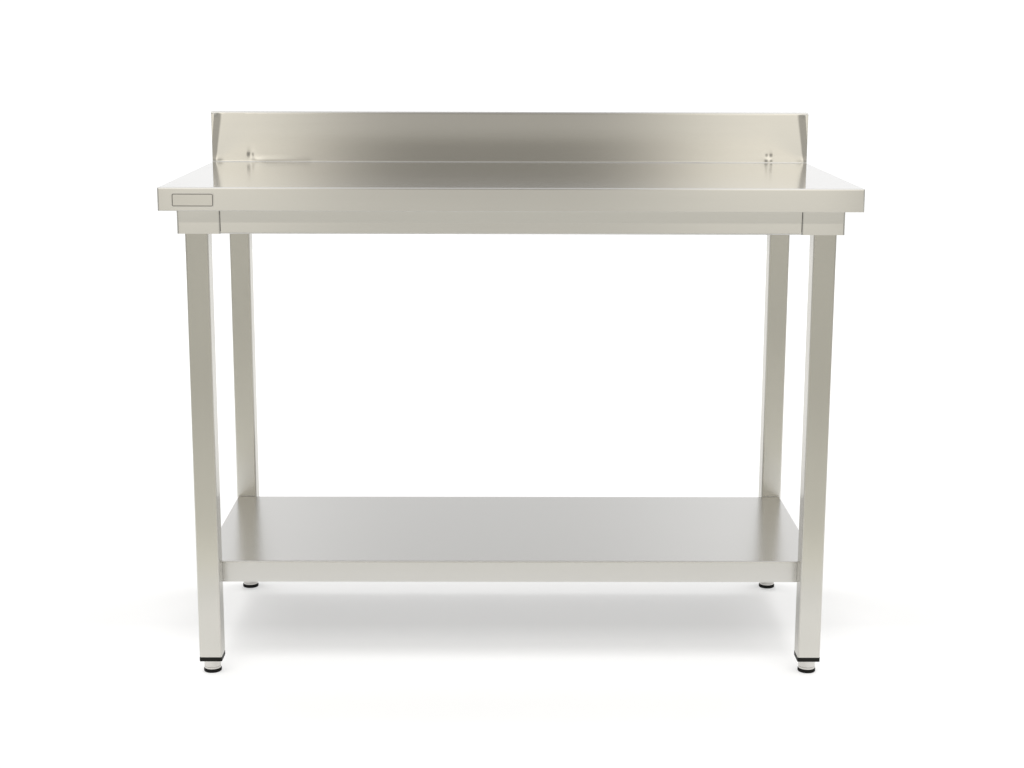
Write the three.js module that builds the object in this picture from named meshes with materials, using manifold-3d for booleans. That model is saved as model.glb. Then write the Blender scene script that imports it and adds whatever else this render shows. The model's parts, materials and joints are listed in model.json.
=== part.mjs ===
// Stainless work table with a rear upstand, an under-frame, a lower shelf and four levelling feet.
// Millimetres, +Z up. The origin is on the floor under the middle of the table, and the front faces -Y.

import * as THREE from 'three';
import { mergeVertices } from 'three/addons/utils/BufferGeometryUtils.js';
import { RoundedBoxGeometry } from 'three/addons/geometries/RoundedBoxGeometry.js';
import Module from 'manifold-3d';

// ---------------------------------------------------------------- driving dimensions

const WIDTH = 1200;
const DEPTH = 600;
const WORK_HEIGHT = 880;
const UPSTAND_HEIGHT = 100;
const UPSTAND_DEPTH = 25;

const CLEARANCE = 0.3;
const OVERCUT = 1;
const DRILL_REACH = 3;
const SHEET = 1.2;
const FOLD = 3;
const FOLD_STEPS = 3;

const EDGE_HEIGHT = 40;
const EDGE_HEM = 9;
const UPSTAND_LIP = 15;
const UPSTAND_END_FLANGE = 12;
const UPSTAND_SIDE_INSET = 1;
const UPSTAND_BRACKET = { x: 522, width: 30, aboveTop: 6, belowLip: 5 };

const BOARD_THICKNESS = 18;
const BOARD_INSET = 4;

const FRAME_WIDTH = 1140;
const FRAME_SKIRT = 40;
const FRAME_FRONT_INSET = 10;
const FRAME_REAR_INSET = 5;
const CHANNEL_WIDTH = 74;
const CHANNEL_SHEET = 1.5;
const RAIL_FLANGE = 25;
const RAIL_RETURN = 12;
const RAIL_TAB_RISE = 4;
const BOARD_STIFFENER = { web: 30, flange: 55, depth: 24 };

const LEG = 40;
const LEG_WALL = 1.5;
const LEG_CORNER = 3;
const LEG_SIDE_INSET = 10;
const LEG_END_INSET = 17;
const LEG_PLATE = { width: 66, length: 66, thickness: 5, boltOffset: 27 };

const SHELF_HEIGHT = 200;
const SHELF_EDGE = 39;
const SHELF_HEM = 10;
const SHELF_SIDE_INSET = 2;
const SHELF_LEG_GAP = 1.8;
const SHELF_STIFFENER = { web: 27, flange: 50, depth: 24 };

const CUP = { radius: 15, top: 23.7, edge: 0.6, shoulder: 1.2 };
const STUD = { radius: 5, top: 70, tip: 1 };
const PAD = { radius: 16, height: 6, edge: 1.2, shoulder: 1 };
const PAD_SPIGOT = { radius: 5, height: 4 };
const CAP = { rim: 7.5, plugTop: 60, insertRadius: 8, proud: 0.3, step: 1 };

const M8 = { radius: 4, headRadius: 7.5, head: 5.3, length: 16 };
const M6 = { radius: 3, headRadius: 5.7, head: 4, length: 16 };
const BUTTON = { radius: 3, headRadius: 5.5, head: 3, length: 12 };
const WOOD_SCREW = { radius: 2, headRadius: 4, head: 2.2, length: 24 };
const HEAD_DOME = { crown: 0.55, shoulder: 0.86, shoulderRise: 0.72, edgeRise: 0.25 };
const HEAD_SOCKET = { radius: 0.36, floor: 0.35 };
const PILOT_DEPTH = 26;
const RAIL_SCREW_DEPTH = 15;
const BOARD_SCREW_X = 200;
const RIVET_NUT = { radius: 5.5, height: 9, pocket: 7, pocketDepth: 12 };
const BADGE = { width: 72, height: 24, thickness: 0.8, corner: 4, x: -540, z: 858.5 };

const ROUND_STEPS = 24;
const FASTENER_STEPS = 12;

// ---------------------------------------------------------------- derived levels and planes

const frontY = -DEPTH / 2;
const rearY = DEPTH / 2;
const upstandY = rearY - UPSTAND_DEPTH;
const sheetUnder = WORK_HEIGHT - SHEET;
const boardTop = sheetUnder - CLEARANCE;
const boardBottom = boardTop - BOARD_THICKNESS;
const frameTop = boardBottom - CLEARANCE;
const frameBottom = WORK_HEIGHT - EDGE_HEIGHT - FRAME_SKIRT;
const frameFrontY = frontY + FRAME_FRONT_INSET;
const frameRearY = upstandY - FRAME_REAR_INSET;
const railY = frameRearY - SHEET;
const channelRearY = railY - CLEARANCE;
const channelInnerX = FRAME_WIDTH / 2 - CHANNEL_WIDTH;
const channelMidX = FRAME_WIDTH / 2 - CHANNEL_WIDTH / 2;
const railEndX = channelInnerX - CLEARANCE;
const boardRearY = railY - CLEARANCE;

const legX = FRAME_WIDTH / 2 - LEG_SIDE_INSET - LEG / 2;
const legFrontY = frameFrontY + LEG_END_INSET + LEG / 2;
const legRearY = frameRearY - LEG_END_INSET - LEG / 2;
const capBottom = CUP.top + CLEARANCE;
const legBottom = capBottom + CAP.rim + CLEARANCE;
const plateTop = frameTop - CHANNEL_SHEET - CLEARANCE;
const plateBottom = plateTop - LEG_PLATE.thickness;
const legTop = plateBottom - CLEARANCE;

const shelfFrontY = legFrontY + LEG / 2 + SHELF_LEG_GAP;
const shelfRearY = legRearY - LEG / 2 - SHELF_LEG_GAP;
const shelfHalfWidth = legX + LEG / 2 - SHELF_SIDE_INSET;
const shelfBoltZ = SHELF_HEIGHT - SHELF_EDGE / 2;
const railScrewZ = (frameTop + frameBottom) / 2;
const frontRailScrewY = frameFrontY + RAIL_SCREW_DEPTH;
const boardScrew = { x: BOARD_SCREW_X, z: (boardTop + boardBottom) / 2 };

const corners = [
  { name: 'front_left', x: -legX, y: legFrontY, inward: 1 },
  { name: 'front_right', x: legX, y: legFrontY, inward: 1 },
  { name: 'rear_left', x: -legX, y: legRearY, inward: -1 },
  { name: 'rear_right', x: legX, y: legRearY, inward: -1 },
];

// ---------------------------------------------------------------- solids

const wasm = await Module();
wasm.setup();

// A closed three.js geometry as a solid that can be joined and cut.
function solid(geometry) {
  const bare = geometry.index ? geometry.toNonIndexed() : geometry.clone();
  bare.deleteAttribute('normal');
  bare.deleteAttribute('uv');
  const merged = mergeVertices(bare, 1e-4);
  return new wasm.Manifold(new wasm.Mesh({
    numProp: 3,
    vertProperties: new Float32Array(merged.attributes.position.array),
    triVerts: new Uint32Array(merged.index.array),
  }));
}

function geometryOf(body) {
  const mesh = body.getMesh();
  const geometry = new THREE.BufferGeometry();
  geometry.setAttribute('position', new THREE.BufferAttribute(new Float32Array(mesh.vertProperties), 3));
  geometry.setIndex(new THREE.BufferAttribute(new Uint32Array(mesh.triVerts), 1));
  geometry.computeVertexNormals();
  return geometry;
}

function joined(...bodies) {
  return bodies.reduce((sum, body) => sum.add(body));
}

function block([x0, x1], [y0, y1], [z0, z1]) {
  const geometry = new THREE.BoxGeometry(x1 - x0, y1 - y0, z1 - z0);
  return solid(geometry.translate((x0 + x1) / 2, (y0 + y1) / 2, (z0 + z1) / 2));
}

// A block whose top edges and upright corners are round; its bottom is flat.
function roundedBlock([x0, x1], [y0, y1], [z0, z1], radius) {
  const whole = new RoundedBoxGeometry(x1 - x0, y1 - y0, 2 * (z1 - z0), FOLD_STEPS, radius);
  const body = solid(whole.translate((x0 + x1) / 2, (y0 + y1) / 2, z0));
  return body.subtract(block(
    [x0 - OVERCUT, x1 + OVERCUT],
    [y0 - OVERCUT, y1 + OVERCUT],
    [2 * z0 - z1 - OVERCUT, z0],
  ));
}

// A sheet pan folded down on four sides, open below, with an optional hem turned inwards.
function foldedPan([x0, x1], [y0, y1], [z0, z1], sheet, hem = 0) {
  const inside = roundedBlock(
    [x0 + sheet, x1 - sheet],
    [y0 + sheet, y1 - sheet],
    [hem > 0 ? z0 + sheet : z0 - OVERCUT, z1 - sheet],
    FOLD - sheet,
  );
  const pan = roundedBlock([x0, x1], [y0, y1], [z0, z1], FOLD).subtract(inside);
  if (hem === 0) return pan;
  return pan.subtract(block([x0 + hem, x1 - hem], [y0 + hem, y1 - hem], [z0 - OVERCUT, z0 + 2 * sheet]));
}

const axesX = new THREE.Matrix4().makeBasis(
  new THREE.Vector3(0, 1, 0),
  new THREE.Vector3(0, 0, 1),
  new THREE.Vector3(1, 0, 0),
);

function extruded(shape, length) {
  return new THREE.ExtrudeGeometry(shape, { depth: length, bevelEnabled: false, curveSegments: FOLD_STEPS });
}

// A (y, z) outline swept along X.
function prismX(shape, [x0, x1]) {
  return solid(extruded(shape, x1 - x0).applyMatrix4(axesX).translate(x0, 0, 0));
}

// An (x, y) outline swept along Z.
function prismZ(shape, [z0, z1]) {
  return solid(extruded(shape, z1 - z0).translate(0, 0, z0));
}

// The section of a folded sheet: straight runs between the corner points, joined by round right-angle bends.
function foldedSection(points, sheet) {
  const bend = FOLD - sheet / 2;
  const line = points.map(([u, v]) => new THREE.Vector2(u, v));
  const left = [];
  const right = [];
  const put = (point, normal) => {
    left.push(point.clone().addScaledVector(normal, sheet / 2));
    right.unshift(point.clone().addScaledVector(normal, -sheet / 2));
  };
  const leftOf = (direction) => new THREE.Vector2(-direction.y, direction.x);
  const heading = (i) => line[i + 1].clone().sub(line[i]).normalize();
  put(line[0], leftOf(heading(0)));
  for (let i = 1; i < line.length - 1; i += 1) {
    const from = heading(i - 1);
    const to = heading(i);
    const turn = Math.sign(from.x * to.y - from.y * to.x);
    const centre = line[i].clone().addScaledVector(from, -bend).addScaledVector(to, bend);
    for (let step = 0; step <= FOLD_STEPS; step += 1) {
      const angle = (step / FOLD_STEPS) * Math.PI / 2;
      const spoke = to.clone().multiplyScalar(-Math.cos(angle)).addScaledVector(from, Math.sin(angle));
      put(centre.clone().addScaledVector(spoke, bend), spoke.clone().multiplyScalar(-turn));
    }
  }
  put(line[line.length - 1], leftOf(heading(line.length - 2)));
  return new THREE.Shape([...left, ...right]);
}

function roundedRectangle(halfWidth, halfHeight, radius) {
  const shape = new THREE.Shape();
  const x = halfWidth - radius;
  const y = halfHeight - radius;
  shape.moveTo(halfWidth, y);
  shape.absarc(x, y, radius, 0, Math.PI / 2);
  shape.absarc(-x, y, radius, Math.PI / 2, Math.PI);
  shape.absarc(-x, -y, radius, Math.PI, Math.PI * 1.5);
  shape.absarc(x, -y, radius, Math.PI * 1.5, Math.PI * 2);
  return shape;
}

const roundedSquare = (half, radius) => roundedRectangle(half, half, radius);

// A profile of [radius, z] points turned about the Z axis.
function turned(profile, steps = ROUND_STEPS) {
  const points = profile.map(([radius, z]) => new THREE.Vector2(radius, z));
  return solid(new THREE.LatheGeometry(points, steps).rotateX(Math.PI / 2));
}

function rod(radius, [z0, z1], steps = FASTENER_STEPS) {
  return turned([[0, z0], [radius, z0], [radius, z1], [0, z1]], steps);
}

// Turns a body made along +Z so that it lies along +Y or +X.
const alongY = (body) => body.rotate([-90, 0, 0]);
const alongX = (body) => body.rotate([0, 90, 0]);
const turnedAbout = (body) => body.rotate([0, 0, 180]);

// A drilled hole for a shank, through a sheet at the origin.
const drilled = (radius) => rod(radius + CLEARANCE, [-DRILL_REACH, DRILL_REACH]);

// A hat-shaped stiffener along X: a channel that is open upwards, between two flanges.
function hatStiffener({ web, flange, depth }, middleY, top, half) {
  const section = foldedSection([
    [middleY - flange, top],
    [middleY - web, top],
    [middleY - web, top - depth],
    [middleY + web, top - depth],
    [middleY + web, top],
    [middleY + flange, top],
  ], SHEET);
  return prismX(section, [-half, half]);
}

// ---------------------------------------------------------------- fasteners, made along +Z from under the head

function hexBolt({ radius, headRadius, head, length }) {
  return joined(rod(headRadius, [-head, 0], 6), rod(radius, [-OVERCUT, length]));
}

function buttonScrew({ radius, headRadius, head, length }) {
  const profile = [
    [0, -head],
    [headRadius * HEAD_DOME.crown, -head],
    [headRadius * HEAD_DOME.shoulder, -head * HEAD_DOME.shoulderRise],
    [headRadius, -head * HEAD_DOME.edgeRise],
    [headRadius, 0],
    [radius, 0],
    [radius, length],
    [0, length],
  ];
  const socket = rod(headRadius * HEAD_SOCKET.radius, [-head - OVERCUT, -head * HEAD_SOCKET.floor], 6);
  return turned(profile, FASTENER_STEPS).subtract(socket);
}

// ---------------------------------------------------------------- worktop

// The top, its edges folded down on three sides, and the upstand with its return, all one sheet.
function worktopSheet() {
  const tray = foldedPan(
    [-WIDTH / 2, WIDTH / 2],
    [frontY, rearY],
    [WORK_HEIGHT - EDGE_HEIGHT, WORK_HEIGHT],
    SHEET,
    EDGE_HEM,
  );
  const bendStart = upstandY - FOLD;
  const inner = WIDTH / 2 - SHEET;
  const behind = joined(
    block([-inner, inner], [bendStart, DEPTH], [0, 2 * WORK_HEIGHT]),
    block([-WIDTH, WIDTH], [bendStart, DEPTH], [WORK_HEIGHT - FOLD, 2 * WORK_HEIGHT]),
    block([-WIDTH, WIDTH], [rearY - FOLD, DEPTH], [0, 2 * WORK_HEIGHT]),
  );
  const section = foldedSection([
    [bendStart - OVERCUT, WORK_HEIGHT - SHEET / 2],
    [upstandY + SHEET / 2, WORK_HEIGHT - SHEET / 2],
    [upstandY + SHEET / 2, WORK_HEIGHT + UPSTAND_HEIGHT - SHEET / 2],
    [rearY - SHEET / 2, WORK_HEIGHT + UPSTAND_HEIGHT - SHEET / 2],
    [rearY - SHEET / 2, WORK_HEIGHT + UPSTAND_HEIGHT - UPSTAND_LIP],
  ], SHEET);
  const half = WIDTH / 2 - UPSTAND_SIDE_INSET;
  return tray.subtract(behind).add(prismX(section, [-half, half]));
}

// A plate that closes one end of the upstand, with a flange turned in along the rear.
function upstandEnd(side) {
  const outer = WIDTH / 2 - UPSTAND_SIDE_INSET - CLEARANCE;
  const topZ = WORK_HEIGHT + UPSTAND_HEIGHT - SHEET - CLEARANCE;
  const lipZ = WORK_HEIGHT + UPSTAND_HEIGHT - UPSTAND_LIP - CLEARANCE;
  const yFront = upstandY + SHEET + FOLD;
  const yRear = rearY - SHEET - CLEARANCE;
  const bottom = WORK_HEIGHT - EDGE_HEIGHT;
  const plate = block([outer - SHEET, outer], [yFront, yRear], [bottom, topZ - FOLD]);
  const flange = block([outer - UPSTAND_END_FLANGE, outer], [yRear - SHEET, yRear], [bottom, lipZ]);
  const body = joined(plate, flange);
  return side > 0 ? body : body.mirror([1, 0, 0]);
}

// A folded stiffener behind the upstand.
function upstandBracket(side) {
  const x = side * UPSTAND_BRACKET.x;
  const half = UPSTAND_BRACKET.width / 2;
  const yFront = upstandY + SHEET + CLEARANCE;
  const yRear = rearY - SHEET - FOLD;
  const lipZ = WORK_HEIGHT + UPSTAND_HEIGHT - UPSTAND_LIP;
  const z = [WORK_HEIGHT + UPSTAND_BRACKET.aboveTop, lipZ - UPSTAND_BRACKET.belowLip];
  const wall = (outerX) => block([outerX, outerX + SHEET], [yFront, yRear], z);
  return joined(
    block([x - half, x + half], [yFront, yFront + SHEET], z),
    wall(x - half),
    wall(x + half - SHEET),
  );
}

function underlayBoard() {
  const half = WIDTH / 2 - BOARD_INSET;
  let board = block([-half, half], [frontY + BOARD_INSET, boardRearY], [boardBottom, boardTop]);
  const pocket = rod(RIVET_NUT.pocket, [boardBottom - OVERCUT, boardBottom + RIVET_NUT.pocketDepth]);
  for (const corner of corners) {
    for (const offset of [-LEG_PLATE.boltOffset, LEG_PLATE.boltOffset]) {
      const x = Math.sign(corner.x) * channelMidX;
      board = board.subtract(pocket.translate([x, corner.y + offset, 0]));
    }
  }
  const pilot = alongY(rod(WOOD_SCREW.radius + CLEARANCE, [-PILOT_DEPTH, OVERCUT]));
  for (const x of [-boardScrew.x, boardScrew.x]) {
    board = board.subtract(pilot.translate([x, boardRearY, boardScrew.z]));
  }
  return board;
}

function boardStiffener() {
  return hatStiffener(BOARD_STIFFENER, 0, frameTop - SHEET / 2, railEndX);
}

// A small blank plate on the front edge.
function badge() {
  const shape = roundedRectangle(BADGE.width / 2, BADGE.height / 2, BADGE.corner);
  const plate = prismZ(shape, [0, BADGE.thickness]).rotate([90, 0, 0]);
  return plate.translate([BADGE.x, frontY - CLEARANCE, BADGE.z]);
}

// ---------------------------------------------------------------- under-frame

// A channel folded down on four sides, which the legs of one end are bolted into.
function sideChannel(side) {
  const x = [channelInnerX, channelInnerX + CHANNEL_WIDTH];
  let channel = foldedPan(x, [frameFrontY, channelRearY], [frameBottom, frameTop], CHANNEL_SHEET);
  const collar = rod(RIVET_NUT.radius, [frameTop - OVERCUT, frameTop + RIVET_NUT.height]);
  const below = frameTop - CHANNEL_SHEET - OVERCUT;
  const hole = rod(M6.radius + CLEARANCE, [below, frameTop + RIVET_NUT.height + OVERCUT]);
  for (const y of [legFrontY, legRearY]) {
    for (const offset of [-LEG_PLATE.boltOffset, LEG_PLATE.boltOffset]) {
      channel = channel.add(collar.translate([channelMidX, y + offset, 0]));
      channel = channel.subtract(hole.translate([channelMidX, y + offset, 0]));
    }
  }
  const screwHole = drilled(BUTTON.radius);
  channel = channel.subtract(alongX(screwHole).translate([channelInnerX, frontRailScrewY, railScrewZ]));
  channel = channel.subtract(alongY(screwHole).translate([channelMidX, channelRearY, railScrewZ]));
  return side > 0 ? channel : channel.mirror([1, 0, 0]);
}

function frontRail() {
  const face = frameFrontY + SHEET / 2;
  const section = foldedSection([
    [face + RAIL_FLANGE, frameTop - SHEET / 2],
    [face, frameTop - SHEET / 2],
    [face, frameBottom + SHEET / 2],
    [face + RAIL_RETURN, frameBottom + SHEET / 2],
  ], SHEET);
  const tab = block(
    [railEndX - SHEET, railEndX],
    [face, frameFrontY + RAIL_FLANGE],
    [frameBottom + RAIL_TAB_RISE, frameTop - SHEET / 2],
  );
  const end = tab.subtract(alongX(drilled(BUTTON.radius)).translate([railEndX, frontRailScrewY, railScrewZ]));
  return joined(prismX(section, [-railEndX, railEndX]), end, end.mirror([1, 0, 0]));
}

// The rear rail lies behind both channels and closes the rear edge of the board.
function rearRail() {
  const section = foldedSection([
    [frameRearY - SHEET / 2, boardTop],
    [frameRearY - SHEET / 2, frameBottom + SHEET / 2],
    [frameRearY - RAIL_RETURN, frameBottom + SHEET / 2],
  ], SHEET);
  const wing = block([railEndX - OVERCUT, FRAME_WIDTH / 2], [railY, frameRearY], [frameBottom, boardTop]);
  let rail = joined(prismX(section, [-railEndX, railEndX]), wing, wing.mirror([1, 0, 0]));
  for (const side of [-1, 1]) {
    const screwHole = alongY(drilled(BUTTON.radius));
    const pilot = alongY(drilled(WOOD_SCREW.radius));
    rail = rail.subtract(screwHole.translate([side * channelMidX, frameRearY, railScrewZ]));
    rail = rail.subtract(pilot.translate([side * boardScrew.x, frameRearY, boardScrew.z]));
  }
  return rail;
}

// ---------------------------------------------------------------- legs

function legTube(corner) {
  const outside = prismZ(roundedSquare(LEG / 2, LEG_CORNER), [legBottom, legTop]);
  const inside = roundedSquare(LEG / 2 - LEG_WALL, LEG_CORNER - LEG_WALL);
  const bore = prismZ(inside, [legBottom - OVERCUT, legTop + OVERCUT]);
  const hole = alongY(drilled(M8.radius)).translate([0, corner.inward * LEG / 2, shelfBoltZ]);
  return outside.subtract(bore).subtract(hole);
}

function legPlate() {
  const half = { x: LEG_PLATE.width / 2, y: LEG_PLATE.length / 2 };
  let plate = block([-half.x, half.x], [-half.y, half.y], [plateBottom, plateTop]);
  for (const y of [-LEG_PLATE.boltOffset, LEG_PLATE.boltOffset]) {
    plate = plate.subtract(drilled(M6.radius).translate([0, y, (plateBottom + plateTop) / 2]));
  }
  return plate;
}

// A moulded end cap: a rim flush with the tube and a plug that holds the threaded insert.
function legCap() {
  const rim = prismZ(roundedSquare(LEG / 2 + CAP.proud, LEG_CORNER), [capBottom, capBottom + CAP.rim]);
  const plugHalf = LEG / 2 - LEG_WALL - CLEARANCE;
  const plug = prismZ(roundedSquare(plugHalf, LEG_CORNER - LEG_WALL), [capBottom + CAP.step, CAP.plugTop]);
  const bore = rod(CAP.insertRadius + CLEARANCE, [capBottom - OVERCUT, CAP.plugTop + OVERCUT], ROUND_STEPS);
  return rim.add(plug).subtract(bore);
}

function footInsert() {
  const sleeve = rod(CAP.insertRadius, [capBottom + CAP.step, CAP.plugTop], ROUND_STEPS);
  return sleeve.subtract(rod(STUD.radius + CLEARANCE, [capBottom, CAP.plugTop + OVERCUT], ROUND_STEPS));
}

// The levelling foot: a turned cup with a threaded stud, hollowed below for the pad's spigot.
function footStud() {
  const bottom = PAD.height + CLEARANCE;
  const recess = bottom + PAD_SPIGOT.height + CLEARANCE;
  return turned([
    [0, recess],
    [PAD_SPIGOT.radius + CLEARANCE, recess],
    [PAD_SPIGOT.radius + CLEARANCE, bottom],
    [CUP.radius - CUP.edge, bottom],
    [CUP.radius, bottom + CUP.edge],
    [CUP.radius, CUP.top - CUP.shoulder],
    [CUP.radius - CUP.shoulder, CUP.top],
    [STUD.radius, CUP.top],
    [STUD.radius, STUD.top - STUD.tip],
    [STUD.radius - STUD.tip, STUD.top],
    [0, STUD.top],
  ]);
}

function footPad() {
  return turned([
    [0, 0],
    [PAD.radius - PAD.edge, 0],
    [PAD.radius, PAD.edge],
    [PAD.radius, PAD.height - PAD.shoulder],
    [PAD.radius - PAD.shoulder, PAD.height],
    [PAD_SPIGOT.radius, PAD.height],
    [PAD_SPIGOT.radius, PAD.height + PAD_SPIGOT.height],
    [0, PAD.height + PAD_SPIGOT.height],
  ]);
}

// ---------------------------------------------------------------- shelf

function shelfPan() {
  let pan = foldedPan(
    [-shelfHalfWidth, shelfHalfWidth],
    [shelfFrontY, shelfRearY],
    [SHELF_HEIGHT - SHELF_EDGE, SHELF_HEIGHT],
    SHEET,
    SHELF_HEM,
  );
  const hole = alongY(drilled(M8.radius));
  for (const corner of corners) {
    const y = corner.inward > 0 ? shelfFrontY : shelfRearY;
    pan = pan.subtract(hole.translate([corner.x, y, shelfBoltZ]));
  }
  return pan;
}

function shelfStiffener() {
  const top = SHELF_HEIGHT - SHEET - CLEARANCE - SHEET / 2;
  return hatStiffener(SHELF_STIFFENER, (shelfFrontY + shelfRearY) / 2, top, shelfHalfWidth - SHEET - FOLD);
}

// ---------------------------------------------------------------- materials and assembly

const looks = {
  steel: { color: 0xb4b1a6, roughness: 0.32, metalness: 1 },
  polished: { color: 0xc4c2ba, roughness: 0.18, metalness: 1 },
  fastener: { color: 0xa9a79f, roughness: 0.3, metalness: 1 },
  board: { color: 0x8f8c84, roughness: 0.8, metalness: 0 },
  plate: { color: 0xa5a39b, roughness: 0.45, metalness: 1 },
  insert: { color: 0x9c9a92, roughness: 0.4, metalness: 1 },
  plastic: { color: 0x141414, roughness: 0.5, metalness: 0 },
  rubber: { color: 0x101010, roughness: 0.85, metalness: 0 },
};

const table = new THREE.Group();

function addPiece(name, body, look, parent = table) {
  const mesh = new THREE.Mesh(geometryOf(body), new THREE.MeshStandardMaterial(looks[look]));
  mesh.name = name;
  parent.add(mesh);
  return mesh;
}

addPiece('worktop_sheet', worktopSheet(), 'steel');
addPiece('underlay_board', underlayBoard(), 'board');
addPiece('board_stiffener', boardStiffener(), 'steel');
addPiece('rating_plate', badge(), 'plate');
addPiece('front_rail', frontRail(), 'steel');
addPiece('rear_rail', rearRail(), 'steel');
addPiece('shelf_pan', shelfPan(), 'steel');
addPiece('shelf_stiffener', shelfStiffener(), 'steel');

for (const [name, side] of [['left', -1], ['right', 1]]) {
  addPiece(`side_channel_${name}`, sideChannel(side), 'steel');
  addPiece(`upstand_end_${name}`, upstandEnd(side), 'steel');
  addPiece(`upstand_bracket_${name}`, upstandBracket(side), 'steel');

  const frontScrew = addPiece(`front_rail_screw_${name}`, alongX(buttonScrew(BUTTON)), 'fastener');
  frontScrew.position.set(side * (channelInnerX + CHANNEL_SHEET + CLEARANCE), frontRailScrewY, railScrewZ);
  frontScrew.rotation.z = side > 0 ? Math.PI : 0;

  const rearScrew = addPiece(`rear_rail_screw_${name}`, turnedAbout(alongY(buttonScrew(BUTTON))), 'fastener');
  rearScrew.position.set(side * channelMidX, frameRearY + CLEARANCE, railScrewZ);

  const woodScrew = addPiece(`board_screw_${name}`, turnedAbout(alongY(buttonScrew(WOOD_SCREW))), 'fastener');
  woodScrew.position.set(side * boardScrew.x, frameRearY + CLEARANCE, boardScrew.z);
}

for (const corner of corners) {
  const stand = new THREE.Group();
  stand.position.set(corner.x, corner.y, 0);
  table.add(stand);
  addPiece(`leg_${corner.name}`, legTube(corner), 'steel', stand);
  addPiece(`leg_cap_${corner.name}`, legCap(), 'plastic', stand);
  addPiece(`foot_insert_${corner.name}`, footInsert(), 'insert', stand);
  addPiece(`foot_stud_${corner.name}`, footStud(), 'polished', stand);
  addPiece(`foot_pad_${corner.name}`, footPad(), 'rubber', stand);

  const head = new THREE.Group();
  head.position.x = Math.sign(corner.x) * (channelMidX - legX);
  stand.add(head);
  addPiece(`leg_plate_${corner.name}`, legPlate(), 'steel', head);
  for (const [place, offset] of [['a', -LEG_PLATE.boltOffset], ['b', LEG_PLATE.boltOffset]]) {
    const bolt = addPiece(`leg_bolt_${corner.name}_${place}`, hexBolt(M6), 'fastener', head);
    bolt.position.set(0, offset, plateBottom - CLEARANCE);
  }

  const shelfBolt = addPiece(`shelf_bolt_${corner.name}`, alongY(hexBolt(M8)), 'fastener', stand);
  const flange = LEG / 2 + SHELF_LEG_GAP + SHEET + CLEARANCE;
  shelfBolt.position.set(0, corner.inward * flange, shelfBoltZ);
  shelfBolt.rotation.z = corner.inward > 0 ? Math.PI : 0;
}

export default table;
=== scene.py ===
"""The looks of a stainless work table: camera, studio, procedural materials and fine surfaces.

Everything is in metres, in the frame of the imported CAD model: +Z up, the front towards -Y.
"""

import json
import math

import bmesh
import bpy
from mathutils import Matrix, Vector

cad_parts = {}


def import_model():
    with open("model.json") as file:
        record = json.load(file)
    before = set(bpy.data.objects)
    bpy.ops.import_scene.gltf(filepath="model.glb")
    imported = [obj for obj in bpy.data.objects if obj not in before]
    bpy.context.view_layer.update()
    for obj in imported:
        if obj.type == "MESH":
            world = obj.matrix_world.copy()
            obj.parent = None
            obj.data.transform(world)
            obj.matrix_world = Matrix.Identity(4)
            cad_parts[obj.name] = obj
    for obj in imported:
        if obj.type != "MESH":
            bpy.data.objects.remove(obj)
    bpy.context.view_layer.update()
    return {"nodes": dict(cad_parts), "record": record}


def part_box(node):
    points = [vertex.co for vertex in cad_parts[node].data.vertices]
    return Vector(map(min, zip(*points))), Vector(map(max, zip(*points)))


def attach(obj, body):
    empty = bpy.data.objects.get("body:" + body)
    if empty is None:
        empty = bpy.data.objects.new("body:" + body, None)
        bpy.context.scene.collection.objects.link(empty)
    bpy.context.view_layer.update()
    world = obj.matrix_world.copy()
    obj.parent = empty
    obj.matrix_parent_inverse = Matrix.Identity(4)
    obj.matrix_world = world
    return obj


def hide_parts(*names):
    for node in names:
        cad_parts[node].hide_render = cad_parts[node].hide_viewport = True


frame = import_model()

# ---------------------------------------------------------------- camera

# The angles are in radians, the lens and its sensor in millimetres.
CAMERA_PLACE = Vector((-0.0170, -3.2427, 1.1457))
CAMERA_YAW = 0.0064
CAMERA_PITCH = 0.2025
CAMERA_ROLL = -0.0030
FOCAL_LENGTH = 61.0
SENSOR_WIDTH = 36.0
VIEW_END = 100.0

# ---------------------------------------------------------------- floor, surround and lamps

FLOOR_RADIUS = 6.0
FLOOR_CORNERS = 96
FLOOR_DROP = 0.0005
FLOOR_COLOUR = 0.50
FLOOR_MOTTLE = 0.01
MOTTLE_SCALE = 1.4
FLOOR_ROUGHNESS = 0.9
FLOOR_SPECULAR = 0.1
# Painted light: the floor's own glow by its place in Y, from far in front of the table to far behind it. It
# lightens the shadow under the table, most towards its front, and is dimmest well in front of the table,
# where the steel mirrors the floor.
FLOOR_PAINTED_GLOW = (
    (-6.0, 0.20), (-4.0, 0.12), (-2.7, 0.02), (-1.3, 0.03), (-0.8, 0.24),
    (-0.5, 0.42), (-0.2, 0.54), (-0.1, 0.49), (0.0, 0.39), (0.15, 0.38),
    (0.4, 0.42), (0.8, 0.45), (2.5, 0.56), (6.0, 0.72),
)
# The warm tint of the floor and of its painted glow far in front of the table, and where it fades out.
FLOOR_WARMTH = (1.0, 0.985, 0.91)
FLOOR_WARM_END = (-1.0, -0.70)

# The surround by the angle about the X axis, in turns: 0 is the horizon in front, 0.25 is overhead
# and 0.5 is the horizon behind.
SURROUND = (
    (-0.50, (1.12, 1.12, 1.12)),
    (-0.08, (0.70, 0.69, 0.62)),
    (-0.022, (0.72, 0.70, 0.63)),
    (-0.0185, (0.99, 0.97, 0.89)),
    (-0.013, (1.01, 0.98, 0.89)),
    (-0.009, (1.17, 1.11, 0.97)),
    (0.014, (1.50, 1.43, 1.26)),
    (0.06, (1.32, 1.28, 1.16)),
    (0.12, (1.42, 1.40, 1.34)),
    (0.30, (1.40, 1.40, 1.40)),
    (0.38, (1.00, 1.00, 1.00)),
    (0.44, (1.00, 1.00, 1.00)),
    (0.465, (1.04, 1.04, 1.04)),
    (0.48, (1.12, 1.12, 1.12)),
)
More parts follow.
